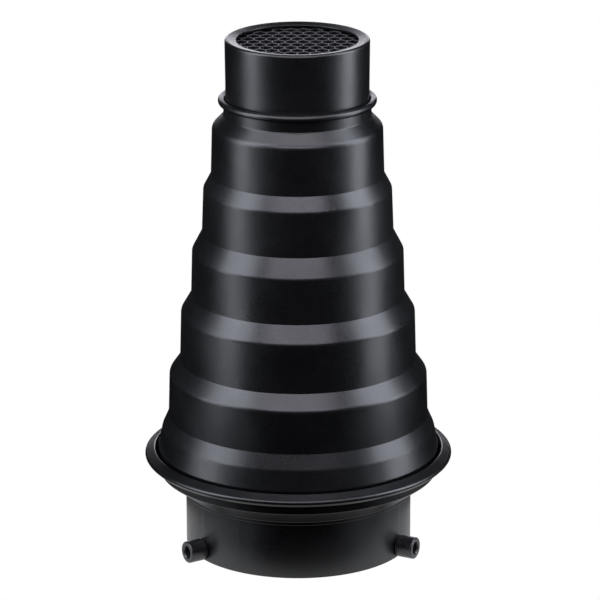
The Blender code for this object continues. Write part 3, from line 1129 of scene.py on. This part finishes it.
@dataclass
class GridCap:
    """The pull-off cap: tube with spring fingers, foil honeycomb and snap ring."""

    radius: float = 30.75
    flare: float = 0.2
    wall: float = 1.15
    foot: float = 187.6
    top: float = 226.8
    lip_width: float = 4.9
    lip_drop: float = 0.9
    lip_fillet: float = 1.2
    lead_in: float = 0.4
    slots: int = 6
    slot_width: float = 1.4
    slot_length: float = 9.0
    core_height: float = 21.0
    gap: float = 0.3
    foil: float = 0.2
    cell_width: float = 5.3
    row_pitch: float = 5.1
    row_offset: float = 2.05
    core_turn: float = -2.5
    wire_radius: float = 0.9
    ring_opening: float = 16.0

    @property
    def core_foot(self) -> float:
        """Height of the honeycomb's lower face."""
        return self.top - self.lip_drop - self.wall - self.gap - self.core_height

    def build_tube(self) -> Object:
        """The tube with its lip turned in, and slots between the fingers."""
        flared = self.radius + self.flare
        inner_radius = self.radius - self.wall
        lip = flared - self.lip_width
        low_top = self.top - self.lip_drop
        middle = (self.foot + self.top) / 2
        outer = rounded(
            [
                Corner(self.radius - self.lead_in - 0.3, self.foot),
                Corner(self.radius - self.lead_in, self.foot, 0.1),
                Corner(self.radius, self.foot + 2 * self.lead_in, 0.5),
                Corner(self.radius, middle),
                Corner(flared, self.top, self.lip_fillet),
                Corner(lip, low_top, 0.3),
                Corner(lip + 0.1, low_top - self.wall, 0.3),
                Corner(flared - self.wall, self.top - self.wall - 0.1, 0.4),
                Corner(inner_radius, middle),
                Corner(inner_radius, self.foot, 0.2),
                Corner(self.radius - self.lead_in - 0.35, self.foot),
            ]
        )
        tube = turned("cap_tube", outer)
        cutters = []
        for i in range(self.slots):
            turn = Matrix.Rotation(math.tau * i / self.slots, 3, "Z")
            deselect_everything()
            bpy.ops.mesh.primitive_cube_add(
                size=MM,
                location=turn @ Vector((0, self.radius - self.wall / 2, self.foot)) * MM,
                rotation=turn.to_euler(),
                scale=(self.slot_width, 4 * self.wall, 2 * self.slot_length),
            )
            cutters.append(bpy.context.object)
        comb = joined(cutters)
        cut_away(tube, comb)
        discard(comb)
        return smooth(tube)

    def ribbon_places(self, foot: float, reach: float) -> list[Vector]:
        """One corrugated ribbon's bottom edge, in metres.

        Args:
            foot: the ribbon's height above the neck's end.
            reach: how far the ribbon runs each way.

        Returns:
            The corners from the near end to the far end, for a ribbon in the first half column.
        """
        half = self.cell_width / 2
        peak = (self.row_pitch**2 - half**2) / (2 * self.row_pitch)
        side = self.row_pitch - peak
        near = self.foil / 2 + 0.01
        far = half - near
        rows = math.ceil(reach / self.row_pitch) + 1
        places = []
        for row in range(-rows, rows + 1):
            middle = row * self.row_pitch + self.row_offset
            x = far if row % 2 else near
            places.append(Vector((x, middle - side / 2, foot)) * MM)
            places.append(Vector((x, middle + side / 2, foot)) * MM)
        return places

    def build_core(self) -> Object:
        """The foil honeycomb: bonded corrugated ribbons, trimmed to a disc."""
        radius = self.radius - self.wall - self.gap
        foot = self.core_foot
        places = self.ribbon_places(foot, radius)
        ribbon = start_wire("ribbon", places[0])
        extend_wire(places)
        bpy.ops.mesh.select_all(action="SELECT")
        rise = Vector((0, 0, self.core_height * MM))
        bpy.ops.mesh.extrude_region_move(TRANSFORM_OT_translate={"value": rise})
        bpy.ops.object.mode_set(mode="OBJECT")
        thick = self.foil * MM
        apply_modifier(ribbon, "SOLIDIFY", thickness=thick, offset=0.0, use_even_offset=True)
        columns = math.ceil(radius / self.cell_width) + 1
        ribbons = []
        for column in range(-columns, columns + 1):
            for mirrored in (False, True):
                copy = copied(ribbon, "ribbon_copy")
                edit(copy)
                bpy.ops.mesh.select_all(action="SELECT")
                if mirrored:
                    bpy.ops.transform.resize(value=(-1, 1, 1), center_override=(0, 0, 0))
                    bpy.ops.mesh.flip_normals()
                bpy.ops.transform.translate(value=(column * self.cell_width * MM, 0, 0))
                ribbons.append(copy)
                bpy.ops.object.mode_set(mode="OBJECT")
        discard(ribbon)
        core = joined(ribbons)
        core.name = "foil_core"
        turn_about_z(core, math.radians(self.core_turn))
        low = Vector((0, foot - 1))
        high = Vector((0, foot + self.core_height + 1))
        wide = Vector((radius, 0))
        disc = turned("core_disc", [low, low + wide, high + wide, high])
        apply_modifier(core, "BOOLEAN", operation="INTERSECT", solver="EXACT", object=disc)
        discard(disc)
        pick(core)
        bpy.ops.object.shade_flat()
        return core

    def build_ring(self) -> Object:
        """The split snap ring under the core."""
        radius = self.radius - self.wall - self.gap - self.wire_radius
        centre = Vector((radius, self.core_foot - self.gap - self.wire_radius))
        section = arc(centre, self.wire_radius, 0, math.tau, 20)[:-1]
        opening = math.radians(self.ring_opening)
        ring = turned("snap_ring", section, sweep=math.tau - opening)
        lowest, highest = box_of(ring)
        LOG.info("snap ring spans %.1f by %.1f mm", *((highest - lowest).xy / MM))
        return ring

    def build(self) -> None:
        """Builds the cap's three pieces."""
        self.tube = self.build_tube()
        self.core = self.build_core()
        self.ring = self.build_ring()

    def dress(self, coat: Material, foil: Material, steel: Material) -> None:
        """Dresses the cap.

        Args:
            coat: the tube's finish.
            foil: the honeycomb's finish.
            steel: the snap ring's finish.
        """
        fit_out(self.tube, "grid_cap", Body.CAP, coat)
        fit_out(self.core, "honeycomb_core", Body.CAP, foil)
        fit_out(self.ring, "retaining_ring", Body.CAP, steel)


# Studio

SIDE_TINT = (0.93, 0.97, 1.1)
LOW_TINT = (0.94, 0.98, 1.08)
FRONT_TINT = (0.98, 0.95, 1.1)
TOP_TINT = (0.97, 0.97, 1.08)
BACK_TINT = (0.98, 0.97, 1.06)


@dataclass(frozen=True)
class Softbox:
    """A soft rectangular light.

    Args:
        name: the light's name.
        azimuth: where it stands, in degrees anticlockwise from the camera's side, seen from above.
        elevation: how high it stands, in degrees.
        distance: metres from the object's middle.
        size: width and height in metres.
        radiance: how bright its face is.
        colour: its tint.
    """

    name: str
    azimuth: float
    elevation: float
    distance: float
    size: tuple[float, float]
    radiance: float
    colour: Colour = (1.0, 1.0, 1.0)

    def place(self, middle: Vector, camera_azimuth: float) -> Object:
        """Sets the light up.

        Args:
            middle: the point that it faces.
            camera_azimuth: the camera's own azimuth, in degrees.

        Returns:
            The light.
        """
        light = bpy.data.lights.new(self.name, "AREA")
        light.shape = "RECTANGLE"
        light.size, light.size_y = self.size
        light.color = self.colour
        light.energy = self.radiance * math.pi * self.size[0] * self.size[1]
        lamp = bpy.data.objects.new(self.name, light)
        bpy.context.scene.collection.objects.link(lamp)
        direction = towards(self.azimuth + camera_azimuth, self.elevation)
        lamp.location = middle + direction * self.distance
        lamp.rotation_mode = "QUATERNION"
        lamp.rotation_quaternion = direction.to_track_quat("Z", "Y")
        return lamp


def towards(azimuth: float, elevation: float) -> Vector:
    """The direction at an azimuth from the -Y side and an elevation, in degrees."""
    a, e = math.radians(azimuth), math.radians(elevation)
    return Vector((math.sin(a) * math.cos(e), -math.cos(a) * math.cos(e), math.sin(e)))


@dataclass
class Studio:
    """White floor, soft lights and camera. Lengths are in metres and angles in degrees."""

    camera_azimuth: float = -2.5
    camera_elevation: float = 17.72
    camera_distance: float = 1.6932
    camera_roll: float = -0.135
    lens: float = 234.5
    aim_height: float = 0.1099
    aim_right: float = 0.0009
    floor_radius: float = 14.0
    floor_drop: float = 0.0002
    glow_radius: float = 0.3
    glow_drop: float = 0.0004
    glow_start: float = 0.050
    glow_end: float = 0.080
    glow: float = 0.7
    glow_squeeze: tuple[float, float, float] = (0.7, 1.08, 1.0)
    ambient: float = 0.012
    lights: tuple[Softbox, ...] = (
        Softbox("left_box", -72, 33, 1.0, (0.62, 1.0), 3.9, SIDE_TINT),
        Softbox("right_box", 85, 30, 1.0, (0.6, 1.0), 4.3, SIDE_TINT),
        Softbox("left_strip_box", -78, -4, 1.0, (0.4, 0.15), 5.0, LOW_TINT),
        Softbox("right_strip_box", 88, -4, 1.0, (0.4, 0.15), 6.5, LOW_TINT),
        Softbox("left_low_box", -68, -21, 1.0, (0.38, 0.22), 3.5, LOW_TINT),
        Softbox("right_low_box", 80, -20, 1.0, (0.42, 0.22), 3.5, LOW_TINT),
        Softbox("front_box", 0, 43, 0.7, (0.75, 0.24), 3.0, FRONT_TINT),
        Softbox("top_box", 0, 72, 0.9, (1.0, 0.13), 4.8, TOP_TINT),
        Softbox("back_box", 180, 12, 1.4, (0.9, 0.46), 2.6, BACK_TINT),
    )

    def build(self) -> None:
        """Builds the floor, the lights and the camera."""
        self.build_floor()
        self.build_glow()
        self.build_world()
        middle = Vector((0, 0, self.aim_height))
        for light in self.lights:
            light.place(middle, self.camera_azimuth)
        self.build_camera()
        bpy.context.scene.view_settings.view_transform = "Standard"

    def disc(self, name: str, radius: float, height: float) -> Object:
        """A flat disc that faces up."""
        deselect_everything()
        bpy.ops.mesh.primitive_circle_add(
            vertices=96, radius=radius, fill_type="NGON", location=(0, 0, height)
        )
        made = bpy.context.object
        made.name = name
        bpy.ops.object.transform_apply(location=True)
        return made

    def build_floor(self) -> None:
        """The floor, evenly white and seen only by the camera."""
        floor = self.disc("floor", self.floor_radius, -self.floor_drop)
        material, nodes, shader = blank_material("white_floor")
        clear = nodes.add("BsdfTransparent").outputs[0]
        white = nodes.add("Emission", {"Color": (1, 1, 1, 1), "Strength": 1.0}).outputs[0]
        below = nodes.add("NewGeometry").outputs["Backfacing"]
        mixed = nodes.add("MixShader", {0: below, 1: white, 2: clear}).outputs[0]
        nodes.feed(material.node_tree.nodes["Material Output"].inputs[0], mixed)
        material.node_tree.nodes.remove(shader)
        floor.data.materials.append(material)
        floor.visible_diffuse = False
        floor.visible_glossy = False
        floor.visible_shadow = False

    def build_glow(self) -> None:
        """The light that the floor throws back close round the neck."""
        glow = self.disc("floor_glow", self.glow_radius, -self.glow_drop)
        material, nodes, shader = blank_material("floor_glow")
        place = nodes.add("TexCoord").outputs["Object"]
        squeeze = {0: place, 1: self.glow_squeeze}
        squeezed = nodes.add("VectorMath", squeeze, operation="MULTIPLY").outputs[0]
        distance = nodes.add("VectorMath", {0: squeezed}, operation="LENGTH").outputs["Value"]
        fall = nodes.add(
            "MapRange",
            {0: distance, 1: self.glow_start, 2: self.glow_end, 3: self.glow, 4: 0.0},
            interpolation_type="SMOOTHSTEP",
        ).outputs[0]
        light = nodes.add("Emission", {"Color": (0.97, 0.98, 1, 1), "Strength": fall}).outputs[0]
        nodes.feed(material.node_tree.nodes["Material Output"].inputs[0], light)
        material.node_tree.nodes.remove(shader)
        glow.data.materials.append(material)
        glow.visible_camera = False
        glow.visible_shadow = False

    def build_world(self) -> None:
        """A white surround for the camera and a dim one for the object."""
        world = bpy.data.worlds.new("studio")
        world.use_nodes = True
        bpy.context.scene.world = world
        nodes = Sockets(world.node_tree)
        background = world.node_tree.nodes["Background"]
        seen = nodes.add("LightPath").outputs["Is Camera Ray"]
        levels = {0: seen, 1: 0.0, 2: 1.0, 3: self.ambient, 4: 1.0}
        strength = nodes.add("MapRange", levels).outputs[0]
        nodes.feed(background.inputs["Color"], (1, 1, 1, 1))
        nodes.feed(background.inputs["Strength"], strength)

    def build_camera(self) -> None:
        """The camera, in front and a little above."""
        data = bpy.data.cameras.new("camera")
        data.lens = self.lens
        data.sensor_width = 36.0
        data.clip_start, data.clip_end = 0.05, 60.0
        camera = bpy.data.objects.new("camera", data)
        bpy.context.scene.collection.objects.link(camera)
        back = towards(self.camera_azimuth, self.camera_elevation)
        a = math.radians(self.camera_azimuth)
        right = Vector((math.cos(a), math.sin(a), 0))
        aim = Vector((0, 0, self.aim_height)) + right * self.aim_right
        camera.location = aim + back * self.camera_distance
        turn = (-back).to_track_quat("-Z", "Y").to_matrix()
        roll = Matrix.Rotation(math.radians(self.camera_roll), 3, "Z")
        camera.rotation_mode = "QUATERNION"
        camera.rotation_quaternion = (turn @ roll).to_quaternion()
        bpy.context.scene.camera = camera


def main() -> None:
    """Loads the frame, builds and dresses the sub-assemblies, and sets the studio up."""
    logging.basicConfig(level=logging.INFO, format="%(name)s: %(message)s")
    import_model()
    effects = Effects()
    coat = CoatFinish("satin_black_coat").make(effects)
    neck_coat = CoatFinish("neck_coat", rings=0.0).make(effects)
    stud_black = (0.016, 0.016, 0.018)
    stud_coat = CoatFinish("stud_coat", stud_black, grain=0.002, rings=0.0).make(effects)
    foil = FoilFinish("black_foil").make(effects)
    black = SteelFinish("black_oxide", (0.05, 0.05, 0.055), (0.2, 0.2, 0.21), 0.38).make(effects)
    zinc = SteelFinish("zinc_plate", (0.5, 0.51, 0.52), (0.6, 0.6, 0.6), 0.34).make(effects)
    spring = SteelFinish("spring_wire", (0.09, 0.09, 0.095), (0.3, 0.3, 0.3), 0.35).make(effects)

    base = Base()
    cone = ConeShell()
    studs = BayonetStuds()
    cap = GridCap()
    cone.build(base)
    base.build(cone.piece, studs)
    studs.build()
    cap.build()
    cone.dress(coat)
    base.dress(coat, neck_coat)
    studs.dress(stud_coat, black, zinc)
    cap.dress(coat, foil, spring)
    Studio().build()
    LOG.info("snoot built")


if __name__ == "__main__":
    main()
